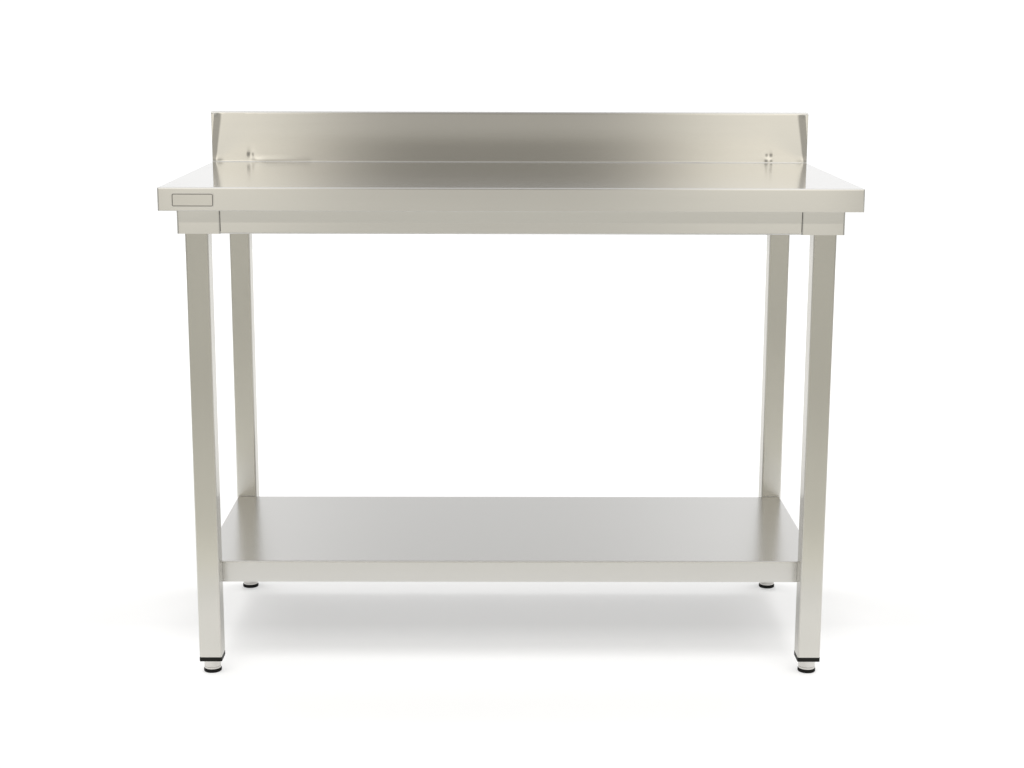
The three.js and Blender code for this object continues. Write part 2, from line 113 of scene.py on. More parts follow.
# How much of it a dark band down the middle takes away, by the same angle.
BAND = (
    (-0.50, 0.0), (-0.022, 0.0), (-0.017, 0.05), (-0.013, 0.10), (-0.0105, 0.64),
    (0.014, 0.72), (0.10, 0.58), (0.30, 0.45), (0.40, 0.26), (0.465, 0.24), (0.48, 0.0),
)
BAND_MIDDLE = -0.006
BAND_WIDTH = 0.112
BAND_SHARPNESS = 4.0
# How much of it the studio's dark flanks take away, and how far aside they start.
FLANK = ((-0.50, 0.0), (-0.12, 0.0), (-0.06, 0.55), (0.08, 0.55), (0.16, 0.0))
FLANK_START, FLANK_END = 0.178, 0.25
# The plain tone of the surround at both sides, and how far aside it takes over.
SIDE_COLOUR = (0.58, 0.57, 0.54)
SIDE_START, SIDE_END = 0.45, 0.80

# The lamps, each of them a pair whose left one mirrors the right one: start of the name, place, aim, size
# and power.
LAMPS = (
    ("front_key_", (0.85, -1.3, 2.6), (0.3, -0.1, 0.0), (1.0, 1.0), 16.0),
    ("rear_key_", (1.25, 1.0, 5.0), (0.3, 0.2, 0.0), (1.2, 0.8), 40.0),
)

# ---------------------------------------------------------------- material values

STEEL_COLOUR = (0.640, 0.632, 0.615)
LEG_COLOUR = (0.606, 0.593, 0.552)
# Noise scales across and along the brushing, for its fine lines and for its broad streaks.
GRAIN_ACROSS, GRAIN_ALONG = 1500.0, 12.0
STREAK_ACROSS, STREAK_ALONG = 70.0, 1.6
CLOUD_SCALE = 5.0
# How much lines, streaks and clouds change the tone and the roughness, and how deep the lines are.
GRAIN_TONE, STREAK_TONE = 0.06, 0.03
GRAIN_DULLNESS, CLOUD_DULLNESS = 0.03, 0.02
GRAIN_DEPTH = 0.0000015
# How much rougher a fold is, and how square to an axis the normal is where that is full and where it is gone.
FOLD_DULLNESS = 0.12
FOLD_SQUARENESS = (0.86, 0.99)
# A face is an end of the sheet where its normal lies along the brushing by more than this.
END_ON = 0.8

# Turned parts: the marks change fast along Z only, and move the roughness between these two changes.
TURNING_SCALE = (60.0, 60.0, 3500.0)
TURNING_DEPTH = 0.00003
TURNING_DULLNESS = (-0.05, 0.09)

# Moulded parts: the size of their clouds, how much lighter and how much duller or glossier these are.
MOULD_CLOUD_SCALE = 60.0
MOULD_GAIN, MOULD_LIFT = 1.7, 0.004
MOULD_DULLNESS = 0.06

# The board: the chips of its core, the speckle of its faces, and the core's values with what a face adds.
CHIP_SCALE = (160.0, 160.0, 420.0)
CHIP_DEPTH = 0.0002
CHIP_COLOURS = ((0.42, 0.29, 0.16), (0.68, 0.52, 0.33))
SPECKLE_SCALE = 900.0
SPECKLE_COLOURS = ((0.50, 0.49, 0.46), (0.57, 0.56, 0.53))
CORE_ROUGHNESS, FACE_ROUGHNESS_CHANGE = 0.85, -0.35
CORE_RELIEF, FACE_RELIEF_CHANGE = 1.0, -0.95

# ---------------------------------------------------------------- shape values

MERGE = 1e-5
SMOOTH_LIMIT = math.radians(35)

# The worktop sheet: the heights of its edge and of all of it in millimetres, whose ratio finds the top.
EDGE_HEIGHT, SHEET_HEIGHT = 40.0, 140.0
# The depth of the upstand, the height that its folds take up and the thickness of its end pieces.
UPSTAND_DEPTH = 0.025
UPSTAND_FOLD = 0.003
UPSTAND_END = 0.001
# The lower rim: its rounding, how near to the front its edges lie, and how long they are at least.
RIM_ROUNDING = 0.0011
RIM_REACH = 0.0001
RIM_SHORTEST = 0.01
# The normals of the upstand's face and folds point back or down by less than this.
FACING = 0.05
# Two spot welds press shallow dimples into the upstand.
DIMPLE_X = 0.522
DIMPLE_RISE = 0.015
DIMPLE_DEPTH = 0.00036
DIMPLE_SPREAD = 0.0042
# The face swells along its lower fold: in a long run beside the left dimple, in a short one at the right
# dimple, and at both ends.
SWELL_RISE = 0.013
SWELL_DEPTH = 0.0011
SWELL_FOOT = 0.0005
SWELL_RUN = 0.125
SWELL_START = (-0.004, 0.022)
RIGHT_SWELL, RIGHT_SWELL_SPREAD = 0.55, 0.007
END_SWELL, END_SWELL_REACH = 0.5, (0.024, 0.004)
# The face curls back at both ends, over a width that grows from its foot to its top, and the curl fades out
# just below the top fold.
END_CURL = (0.008, 0.026)
END_CURL_SLOPE = 0.16
LID_FADE = 0.002
# The cuts that carry these shapes: how many there are, and how far they lie from the weld or the end.
LOW_CUTS, LOW_CUT_MARGIN = 11, 0.0045
HIGH_CUTS, HIGH_CUT_START = 9, 0.010
END_CUTS, END_CUT_REACH = 14, (0.028, 0.0012)
WELD_CUTS, WELD_CUT_REACH = 15, 0.009
RUN_CUTS, RUN_CUT_START = 14, 0.015

# The under-frame: the depth of its front walls, the crease in them and the radius at their seams.
FRONT_WALL = 0.0022
CREASE_RISE = 0.0195
CREASE_HALF = 0.0008
CREASE_SLOPE = math.tan(math.radians(1.2))
SEAM_ROUNDING = 0.0004

# The plate: its corners, and the profile from its rim inwards as the inset and the depth behind its face.
PLATE_CORNER = 0.004
PLATE_CORNER_STEPS = 8
PLATE_PROFILE = (
    (0.0, 0.0003), (0.0003, 0.0), (0.0014, 0.0), (0.0016, 0.0002), (0.0024, 0.0002), (0.0026, 0.0),
)
# The bands between its rings that the dark line takes, counted from the rear.
PLATE_LINE = (3, 4, 5)

RING_STEPS = 48
ROUNDING_STEPS = 4
# The cup: its gap to the leg's cap, the bore under it, the groove round it as depths and heights, and its
# roundings.
CUP_GAP = 0.0003
CUP_BORE_RADIUS, CUP_BORE_DEPTH = 0.0053, 0.0043
CUP_GROOVE_RISE = 0.0035
CUP_GROOVE = ((0.0, 0.0), (0.0005, 0.0004), (0.0005, 0.0010), (0.0, 0.0014))
CUP_FOOT_ROUNDING = 0.0006
CUP_TOP_ROUNDING = 0.0014
# The stud, its collar on the cup, its thread and its tip.
STUD_RADIUS = 0.005
STUD_TIP = 0.0006
COLLAR_WIDTH, COLLAR_RISE = 0.0010, 0.0002
THREAD_PITCH = 0.0015
THREAD_DEPTH = 0.0008
THREAD_START = 0.0003
THREAD_STEPS = 6
THREAD_FLATNESS = 1.25
# The pad: its peg in the cup, the hollow under it as shares of its radius, and its roundings.
PEG_RADIUS, PEG_HEIGHT = 0.005, 0.004
PAD_HOLLOW, PAD_HOLLOW_RIM, PAD_HOLLOW_DEPTH = 0.55, 0.62, 0.0006
PAD_FOOT_ROUNDING = 0.0014
PAD_TOP_ROUNDING = 0.0010


# ---------------------------------------------------------------- helpers

def linked(name, data):
    """A new object in the scene."""
    piece = bpy.data.objects.new(name, data)
    bpy.context.scene.collection.objects.link(piece)
    return piece


def new_material(name):
    """An empty material with one Principled shader."""
    material = bpy.data.materials.new(name)
    material.use_nodes = True
    nodes = material.node_tree.nodes
    nodes.clear()
    output = nodes.new("ShaderNodeOutputMaterial")
    shader = nodes.new("ShaderNodeBsdfPrincipled")
    material.node_tree.links.new(shader.outputs["BSDF"], output.inputs["Surface"])
    return material, shader


def rgba(colour):
    return (*colour, 1.0)


def clamp(value):
    return min(1.0, max(0.0, value))


def smoothstep(value, low, high):
    t = clamp((value - low) / (high - low))
    return t * t * (3.0 - 2.0 * t)


def spread(start, end, count):
    return [start + (end - start) * i / (count - 1) for i in range(count)]


class Graph:
    """Adds nodes to a tree; any argument may be a number, a vector or another node's output."""

    def __init__(self, tree):
        self.tree = tree

    def put(self, kind, **settings):
        node = self.tree.nodes.new(kind)
        for key, value in settings.items():
            setattr(node, key, value)
        return node

    def feed(self, socket, value):
        if isinstance(value, bpy.types.NodeSocket):
            self.tree.links.new(value, socket)
        else:
            socket.default_value = value

    def place(self):
        """The place in the object's own frame."""
        return self.put("ShaderNodeTexCoord").outputs["Object"]

    def normal(self):
        return self.put("ShaderNodeNewGeometry").outputs["Normal"]

    def math(self, operation, *values):
        node = self.put("ShaderNodeMath", operation=operation)
        for socket, value in zip(node.inputs, values):
            self.feed(socket, value)
        return node.outputs[0]

    def vector(self, operation, *values):
        node = self.put("ShaderNodeVectorMath", operation=operation)
        for socket, value in zip(node.inputs, values):
            self.feed(socket, value)
        return node.outputs[0]

    def scaled(self, vector, factor):
        node = self.put("ShaderNodeVectorMath", operation="SCALE")
        self.feed(node.inputs[0], vector)
        self.feed(node.inputs["Scale"], factor)
        return node.outputs[0]

    def split(self, vector):
        node = self.put("ShaderNodeSeparateXYZ")
        self.feed(node.inputs[0], vector)
        return node.outputs

    def remap(self, value, low, high, to_low, to_high, blend="LINEAR"):
        node = self.put("ShaderNodeMapRange", interpolation_type=blend)
        for key, number in (("Value", value), ("From Min", low), ("From Max", high),
                            ("To Min", to_low), ("To Max", to_high)):
            self.feed(node.inputs[key], number)
        return node.outputs["Result"]

    def smooth(self, value, low, high, to_low=0.0, to_high=1.0):
        """A smooth step from to_low at low to to_high at high."""
        return self.remap(value, low, high, to_low, to_high, "SMOOTHSTEP")

    def noise(self, place, scale, detail=2.0, roughness=0.5):
        """Noise with one scale, or with one for each axis."""
        if isinstance(scale, tuple):
            place = self.vector("MULTIPLY", place, scale)
            scale = 1.0
        node = self.put("ShaderNodeTexNoise")
        self.feed(node.inputs["Vector"], place)
        for key, number in (("Scale", scale), ("Detail", detail), ("Roughness", roughness)):
            self.feed(node.inputs[key], number)
        return node.outputs["Fac"]

    def wavering(self, base, noise, amount):
        """A value that a noise moves about its base, by the amount from the noise's 0 to its 1."""
        return self.math("MULTIPLY_ADD", self.math("SUBTRACT", noise, 0.5), amount, base)

    def mix_colour(self, factor, a, b):
        node = self.put("ShaderNodeMix", data_type="RGBA")
        self.feed(node.inputs["Factor"], factor)
        self.feed(node.inputs[6], a)
        self.feed(node.inputs[7], b)
        return node.outputs[2]

    def bump(self, height, distance, strength=1.0):
        node = self.put("ShaderNodeBump")
        self.feed(node.inputs["Height"], height)
        self.feed(node.inputs["Distance"], distance)
        self.feed(node.inputs["Strength"], strength)
        return node.outputs["Normal"]

    def ramp(self, place, stops):
        """Colours or numbers at places from 0 to 1, blended smoothly between them."""
        node = self.put("ShaderNodeValToRGB")
        node.color_ramp.interpolation = "EASE"
        elements = node.color_ramp.elements
        while len(elements) < len(stops):
            elements.new(1.0)
        for element, (position, value) in zip(elements, stops):
            element.position = position
            element.color = rgba(value) if isinstance(value, tuple) else rgba((value,) * 3)
        self.feed(node.inputs["Fac"], place)
        return node.outputs["Color"]

    def by_turns(self, turns, stops):
        """The same, for stops that run from -0.5 to 0.5 turns."""
        return self.ramp(self.math("ADD", turns, 0.5), [(turn + 0.5, value) for turn, value in stops])


# ---------------------------------------------------------------- materials

def brushed_steel(name, grain, colour=STEEL_COLOUR, roughness=0.10, anisotropic=0.95):
    """Stainless sheet, brushed along one axis of the table and duller where it is folded."""
    material, shader = new_material(name)
    graph = Graph(material.node_tree)
    place = graph.place()
    axis = "XYZ".index(grain)
    grain_scale = tuple(GRAIN_ALONG if i == axis else GRAIN_ACROSS for i in range(3))
    streak_scale = tuple(STREAK_ALONG if i == axis else STREAK_ACROSS for i in range(3))
    lines = graph.noise(place, grain_scale, detail=3.0, roughness=0.6)
    streaks = graph.noise(place, streak_scale)
    clouds = graph.noise(place, CLOUD_SCALE)

    tone = graph.wavering(graph.wavering(1.0, streaks, STREAK_TONE), lines, GRAIN_TONE)
    graph.feed(shader.inputs["Base Color"], graph.scaled(colour, tone))

    normal = graph.normal()
    along_x, along_y, along_z = graph.split(graph.vector("ABSOLUTE", normal))
    squareness = graph.math("MAXIMUM", graph.math("MAXIMUM", along_x, along_y), along_z)
    fold = graph.smooth(squareness, *FOLD_SQUARENESS, FOLD_DULLNESS, 0.0)
    rough = graph.wavering(graph.wavering(roughness, lines, GRAIN_DULLNESS), clouds, CLOUD_DULLNESS)
    graph.feed(shader.inputs["Roughness"], graph.math("ADD", rough, fold))

    graph.feed(shader.inputs["Normal"], graph.bump(lines, GRAIN_DEPTH))
    shader.inputs["Metallic"].default_value = 1.0
    shader.inputs["Anisotropic"].default_value = anisotropic

    # The tangent lies in the surface, across the brushing. The ends of a sheet take the next axis for it.
    end_on = graph.math("GREATER_THAN", graph.math("ABSOLUTE", graph.split(normal)[axis]), END_ON)
    brushing = graph.put("ShaderNodeMix", data_type="VECTOR")
    graph.feed(brushing.inputs["Factor"], end_on)
    brushing.inputs[4].default_value = [float(i == axis) for i in range(3)]
    brushing.inputs[5].default_value = [float(i == (axis + 1) % 3) for i in range(3)]
    graph.feed(shader.inputs["Tangent"], graph.vector("CROSS_PRODUCT", normal, brushing.outputs[1]))
    return material


def turned_steel(name, colour, roughness=0.16):
    """Bright machined steel with fine turning marks round Z."""
    material, shader = new_material(name)
    graph = Graph(material.node_tree)
    marks = graph.noise(graph.place(), TURNING_SCALE)
    finest, roughest = (roughness + change for change in TURNING_DULLNESS)
    graph.feed(shader.inputs["Roughness"], graph.remap(marks, 0.0, 1.0, finest, roughest))
    graph.feed(shader.inputs["Normal"], graph.bump(marks, TURNING_DEPTH))
    shader.inputs["Base Color"].default_value = rgba(colour)
    shader.inputs["Metallic"].default_value = 1.0
    return material


def moulded(name, colour, roughness, grain_scale, depth, specular=0.5):
    """Moulded plastic or rubber with a fine pebbled grain and slightly uneven gloss."""
    material, shader = new_material(name)
    graph = Graph(material.node_tree)
    place = graph.place()
    pebbles = graph.noise(place, grain_scale, detail=3.0, roughness=0.6)
    clouds = graph.noise(place, MOULD_CLOUD_SCALE)
    light = tuple(c * MOULD_GAIN + MOULD_LIFT for c in colour)
    rough = graph.remap(clouds, 0.2, 0.8, roughness - MOULD_DULLNESS, roughness + MOULD_DULLNESS)
    graph.feed(shader.inputs["Base Color"], graph.mix_colour(clouds, rgba(colour), rgba(light)))
    graph.feed(shader.inputs["Roughness"], rough)
    graph.feed(shader.inputs["Normal"], graph.bump(pebbles, depth))
    shader.inputs["Specular IOR Level"].default_value = specular
    return material


def melamine_board(name):
    """Grey melamine faces over a chipped particle core."""
    material, shader = new_material(name)
    graph = Graph(material.node_tree)
    place = graph.place()
    chips = graph.noise(place, CHIP_SCALE, detail=3.0, roughness=0.7)
    speckle = graph.noise(place, SPECKLE_SCALE, roughness=0.6)
    core = graph.mix_colour(graph.smooth(chips, 0.35, 0.65), *(rgba(colour) for colour in CHIP_COLOURS))
    face = graph.mix_colour(speckle, *(rgba(colour) for colour in SPECKLE_COLOURS))
    is_face = graph.math("GREATER_THAN", graph.math("ABSOLUTE", graph.split(graph.normal())[2]), 0.5)
    rough = graph.math("MULTIPLY_ADD", is_face, FACE_ROUGHNESS_CHANGE, CORE_ROUGHNESS)
    relief = graph.math("MULTIPLY_ADD", is_face, FACE_RELIEF_CHANGE, CORE_RELIEF)
    graph.feed(shader.inputs["Base Color"], graph.mix_colour(is_face, core, face))
    graph.feed(shader.inputs["Roughness"], rough)
    graph.feed(shader.inputs["Normal"], graph.bump(chips, CHIP_DEPTH, relief))
    return material


STEEL_X = brushed_steel("steel_grain_x", "X")
STEEL_Y = brushed_steel("steel_grain_y", "Y")
STEEL_Z = brushed_steel("steel_grain_z", "Z", LEG_COLOUR, roughness=0.22)
STEEL_SHELF = brushed_steel("steel_shelf", "X", roughness=0.26, anisotropic=0.30)
BOARD = melamine_board("melamine_board")
POLISHED = turned_steel("turned_steel", (0.60, 0.585, 0.56))
FASTENER = turned_steel("fastener_steel", (0.60, 0.59, 0.57), roughness=0.28)
INSERT = turned_steel("insert_steel", (0.55, 0.54, 0.52), roughness=0.35)
PLATE = brushed_steel("plate_satin", "X", (0.63, 0.62, 0.60), roughness=0.16, anisotropic=0.85)
# Moulded materials are given by colour, roughness, scale and depth of the grain, and specular level.
ENAMEL = moulded("line_enamel", (0.055, 0.053, 0.050), 0.38, 2400.0, 0.00001)
PLASTIC = moulded("black_plastic", (0.006, 0.006, 0.005), 0.50, 1800.0, 0.00004, 0.14)
RUBBER = moulded("black_rubber", (0.005, 0.005, 0.005), 0.72, 900.0, 0.00008, 0.14)

# The looks of the CAD nodes. The first start that fits a node's name decides.
LOOKS = (
    ("leg_bolt", FASTENER), ("leg_cap", PLASTIC), ("leg_plate", STEEL_X), ("leg_", STEEL_Z),
    ("foot_stud", POLISHED), ("foot_pad", RUBBER), ("foot_insert", INSERT), ("shelf_bolt", FASTENER),
    ("side_channel", STEEL_Y), ("upstand_end", STEEL_Z), ("upstand_bracket", STEEL_Z),
    ("front_rail_screw", FASTENER), ("rear_rail_screw", FASTENER), ("board_screw", FASTENER),
    ("rating_plate", PLATE), ("underlay_board", BOARD), ("shelf_pan", STEEL_SHELF), ("", STEEL_X),
)


def look_of(node):
    return next(material for start, material in LOOKS if node.startswith(start))


# ---------------------------------------------------------------- surfaces

def soft_edge_group():
    """Geometry nodes that join split vertices and shade smooth across every edge flatter than the limit."""
    group = bpy.data.node_groups.new("smooth_by_angle", "GeometryNodeTree")
    group.interface.new_socket("Geometry", in_out="INPUT", socket_type="NodeSocketGeometry")
    group.interface.new_socket("Geometry", in_out="OUTPUT", socket_type="NodeSocketGeometry")
    graph = Graph(group)
    merge = graph.put("GeometryNodeMergeByDistance")
    graph.feed(merge.inputs["Geometry"], graph.put("NodeGroupInput").outputs[0])
    merge.inputs["Distance"].default_value = MERGE
    smooth = graph.put("GeometryNodeSetShadeSmooth", domain="FACE")
    graph.feed(smooth.inputs["Geometry"], merge.outputs[0])
    smooth.inputs["Shade Smooth"].default_value = True
    compare = graph.put("FunctionNodeCompare", data_type="FLOAT", operation="GREATER_THAN")
    graph.feed(compare.inputs[0], graph.put("GeometryNodeInputMeshEdgeAngle").outputs["Unsigned Angle"])
    compare.inputs[1].default_value = SMOOTH_LIMIT
    sharp = graph.put("GeometryNodeSetShadeSmooth", domain="EDGE")
    graph.feed(sharp.inputs["Geometry"], smooth.outputs[0])
    graph.feed(sharp.inputs["Selection"], compare.outputs[0])
    sharp.inputs["Shade Smooth"].default_value = False
    graph.feed(graph.put("NodeGroupOutput").inputs[0], sharp.outputs[0])
    return group


SOFT_EDGES = soft_edge_group()


def finish_surface(piece):
    """Shades folds smooth and keeps flat faces flat."""
    smooth = piece.modifiers.new("smooth", "NODES")
    smooth.node_group = SOFT_EDGES
    weighted = piece.modifiers.new("weighted", "WEIGHTED_NORMAL")
    weighted.keep_sharp = True
    weighted.weight = 100


def shape_of(node):
    """A CAD node's shape, to refine."""
    shape = bmesh.new()
    shape.from_mesh(frame["nodes"][node].data)
    bmesh.ops.remove_doubles(shape, verts=shape.verts, dist=MERGE)
    shape.normal_update()
    return shape


def once(items):
    """Each item once, in the order given."""
    return list(dict.fromkeys(items))


def settle(shape):
    """Sorts the faces by their corners: a plane cut leaves them in an order that differs from run to run."""
    order = sorted(shape.faces, key=lambda face: [tuple(vert.co) for vert in face.verts])
    rank = {face: i for i, face in enumerate(order)}
    shape.faces.sort(key=rank.get)
    shape.faces.index_update()


def cut(shape, axis, places, chosen):
    """Cuts the chosen faces of a shape by planes across one axis."""
    across = Vector([float(axis == name) for name in "XYZ"])
    for place in places:
        faces = [face for face in shape.faces if chosen(face)]
        edges = once(edge for face in faces for edge in face.edges)
        verts = once(vert for face in faces for vert in face.verts)
        bmesh.ops.bisect_plane(shape, geom=faces + edges + verts, dist=MERGE / 10,
                               plane_co=across * place, plane_no=across)
        settle(shape)


def round_edges(shape, size, chosen):
    """Rounds the chosen edges of a shape, each given by its two ends."""
    edges = [edge for edge in shape.edges if chosen(edge.verts[0].co, edge.verts[1].co)]
    bmesh.ops.bevel(shape, geom=edges, offset=size, segments=2, profile=0.5, affect="EDGES",
                    clamp_overlap=True)


def body_of(node):
    bodies = frame["record"]["behaviour"]["bodies"]
    return next(body for body, nodes in bodies.items() if node in nodes)


def add_piece(name, shape, node, slot, *materials):
    """Turns a shape into a piece that stands for a CAD node and rides with it."""
    mesh = bpy.data.meshes.new(name)
    shape.to_mesh(mesh)
    shape.free()
    for material in materials:
        mesh.materials.append(material)
    piece = linked(name, mesh)
    finish_surface(piece)
    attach(piece, body_of(node))
    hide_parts(node)


def dress_cad_nodes():
    """Gives every CAD node its look."""
    for name, piece in frame["nodes"].items():
        piece.data.materials.clear()
        piece.data.materials.append(look_of(name))
        finish_surface(piece)


# ---------------------------------------------------------------- sheet metal

def worktop():
    """The worktop sheet, its upstand pressed in at two spot welds and drawn back a little at both ends."""
    low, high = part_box("worktop_sheet")
    top = low[2] + (high[2] - low[2]) * EDGE_HEIGHT / SHEET_HEIGHT
    face_y = high[1] - UPSTAND_DEPTH
    face_top = high[2] - UPSTAND_FOLD
    end_x = high[0] - UPSTAND_END
    weld_z = top + DIMPLE_RISE
    shape = shape_of("worktop_sheet")

    def lower_rim(a, b):
        outside = all(abs(v.x) > high[0] - MERGE or v.y < low[1] + RIM_REACH for v in (a, b))
        return outside and max(a.z, b.z) < low[2] + MERGE and (a - b).length > RIM_SHORTEST

    def on_face(face):
        middle = face.calc_center_median()
        fronts = face.normal.y < FACING and face.normal.z > -FACING
        return fronts and middle.z > top - MERGE and face_y - UPSTAND_FOLD < middle.y < face_y + MERGE

    def swell(x):
        """How much the face swells at a place along it, from 0 to 1."""
        along = x + DIMPLE_X
        left = smoothstep(along, *SWELL_START) * clamp(1.0 - along / SWELL_RUN)
        right = RIGHT_SWELL * math.exp(-((x - DIMPLE_X) / RIGHT_SWELL_SPREAD) ** 2)
        start, full = (end_x - reach for reach in END_SWELL_REACH)
        return max(left, right, END_SWELL * smoothstep(abs(x), start, full))

    def pushed_back(x, z):
        """How far back the face lies at a place."""
        depth = 0.0
        for side in (-1, 1):
            away = math.hypot(x - side * DIMPLE_X, z - weld_z)
            depth += DIMPLE_DEPTH * math.exp(-0.5 * (away / DIMPLE_SPREAD) ** 2)
        rise = clamp((z - top - UPSTAND_FOLD) / SWELL_RISE)
        fold = smoothstep(z, top + SWELL_FOOT, top + UPSTAND_FOLD)
        depth -= SWELL_DEPTH * swell(x) * (1.0 - rise) ** 2 * fold
        width = END_CURL[0] + (END_CURL[1] - END_CURL[0]) * clamp((z - top) / (high[2] - top))
        curl = max(0.0, abs(x) - (end_x - width))
        lid = smoothstep(z, face_top, face_top - LID_FADE)
        return depth + 0.5 * END_CURL_SLOPE * curl * curl / width * lid

    round_edges(shape, RIM_ROUNDING, lower_rim)
    low_z = spread(top + LOW_CUT_MARGIN, weld_z + LOW_CUT_MARGIN, LOW_CUTS)
    high_z = spread(weld_z + HIGH_CUT_START, face_top - LID_FADE, HIGH_CUTS)
    cut(shape, "Z", low_z + high_z, on_face)
    ends = spread(*(end_x - reach for reach in END_CUT_REACH), END_CUTS)
    weld = spread(DIMPLE_X - WELD_CUT_REACH, DIMPLE_X + WELD_CUT_REACH, WELD_CUTS)
    run = spread(DIMPLE_X - RUN_CUT_START, DIMPLE_X - SWELL_RUN, RUN_CUTS)
    cut(shape, "X", [side * x for x in ends + weld + run for side in (-1, 1)], on_face)
    for vert in once(vert for face in shape.faces if on_face(face) for vert in face.verts):
        if top + MERGE < vert.co.z < face_top + MERGE and vert.co.y < face_y + MERGE:
            vert.co.y += pushed_back(vert.co.x, vert.co.z)
    shape.normal_update()
    add_piece("worktop", shape, "worktop_sheet", "steel", STEEL_X)


def creased_front(node, name, material):
    """A part of the under-frame whose front is creased, so that its upper half leans forward a little."""
    low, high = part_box(node)
    shape = shape_of(node)
    crease = low[2] + CREASE_RISE
    wall = low[1] + FRONT_WALL
    front = low[1] + MERGE
    round_edges(shape, SEAM_ROUNDING, lambda a, b: max(a.y, b.y) < front and abs(a.x - b.x) < MERGE)
    cuts = [crease - CREASE_HALF, crease, crease + CREASE_HALF]
    cut(shape, "Z", cuts, lambda face: face.calc_center_median().y < wall)
    for vert in shape.verts:
        lean = max(0.0, vert.co.z - crease)
        if vert.co.y < wall and lean > MERGE:
            vert.co.y -= lean * CREASE_SLOPE
    shape.normal_update()
    add_piece(name, shape, node, "steel", material)


def badge():
    """A blank plate with a bevelled rim and a thin dark line sunk round its face."""
    low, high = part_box("rating_plate")
    half = ((high[0] - low[0]) / 2, (high[2] - low[2]) / 2)
    middle = ((low[0] + high[0]) / 2, (low[2] + high[2]) / 2)
    shape = bmesh.new()

    def ring(inset, y):
        points = []
        radius = PLATE_CORNER - inset
        for quarter, (sx, sz) in enumerate(((1, 1), (-1, 1), (-1, -1), (1, -1))):
            for step in range(PLATE_CORNER_STEPS + 1):
                turn = (quarter + step / PLATE_CORNER_STEPS) * math.pi / 2
                x = middle[0] + sx * (half[0] - PLATE_CORNER) + radius * math.cos(turn)
                z = middle[1] + sz * (half[1] - PLATE_CORNER) + radius * math.sin(turn)
                points.append(shape.verts.new((x, y, z)))
        return points

    loops = [ring(0.0, high[1])]
    loops += [ring(inset, low[1] + depth) for inset, depth in PLATE_PROFILE]
    count = len(loops[0])
    for index, (outer, inner) in enumerate(zip(loops, loops[1:])):
        for i in range(count):
            j = (i + 1) % count
            face = shape.faces.new((outer[i], outer[j], inner[j], inner[i]))
            face.material_index = int(index in PLATE_LINE)
    shape.faces.new(loops[-1])
    shape.faces.new(loops[0])
    bmesh.ops.recalc_face_normals(shape, faces=shape.faces)
    add_piece("badge_plate", shape, "rating_plate", "plate", PLATE, ENAMEL)


# ---------------------------------------------------------------- turned feet

def turned_rings(shape, rings, middle):
    """Closes a stack of rings, from the bottom to the top, into a solid."""
    for lower, upper in zip(rings, rings[1:]):
        for i in range(len(lower)):
            j = (i + 1) % len(lower)
            shape.faces.new((lower[i], lower[j], upper[j], upper[i]))
    shape.faces.new(rings[0])
    shape.faces.new(rings[-1])
    bmesh.ops.recalc_face_normals(shape, faces=shape.faces)
    bmesh.ops.translate(shape, verts=shape.verts, vec=(middle[0], middle[1], 0.0))


def ring_at(shape, radius, z):
    turns = [2 * math.pi * i / RING_STEPS for i in range(RING_STEPS)]
    return [shape.verts.new((radius * math.cos(a), radius * math.sin(a), z)) for a in turns]


def rounded(radius, z, size, quarter):
    """Points of a round corner of a profile: quarter 0 turns from out to up, quarter 1 from up to in."""
    turns = [math.pi / 2 * i / ROUNDING_STEPS for i in range(ROUNDING_STEPS + 1)]
    if quarter == 0:
        return [(radius - size + size * math.sin(t), z + size - size * math.cos(t)) for t in turns]
    return [(radius - size + size * math.cos(t), z - size + size * math.sin(t)) for t in turns]


def threaded_rings(shape, start, end):
    """The rings of the stud's thread, whose crest climbs round it and fades at both ends."""
    count = (int((end - start - COLLAR_RISE) / THREAD_PITCH) - 1) * THREAD_STEPS
    rings = []
    for step in range(count + 1):
        points = ring_at(shape, 1.0, start + THREAD_START + step * THREAD_PITCH / THREAD_STEPS)
        fade = min(1.0, step / THREAD_STEPS, (count - step) / THREAD_STEPS)
        for i, vert in enumerate(points):
            phase = (step / THREAD_STEPS - i / len(points)) % 1.0
            crest = fade * min(1.0, THREAD_FLATNESS * (1.0 - abs(2.0 * phase - 1.0)))
            radius = STUD_RADIUS - THREAD_DEPTH * (1.0 - crest)
            vert.co.x *= radius
            vert.co.y *= radius
        rings.append(points)
    return rings


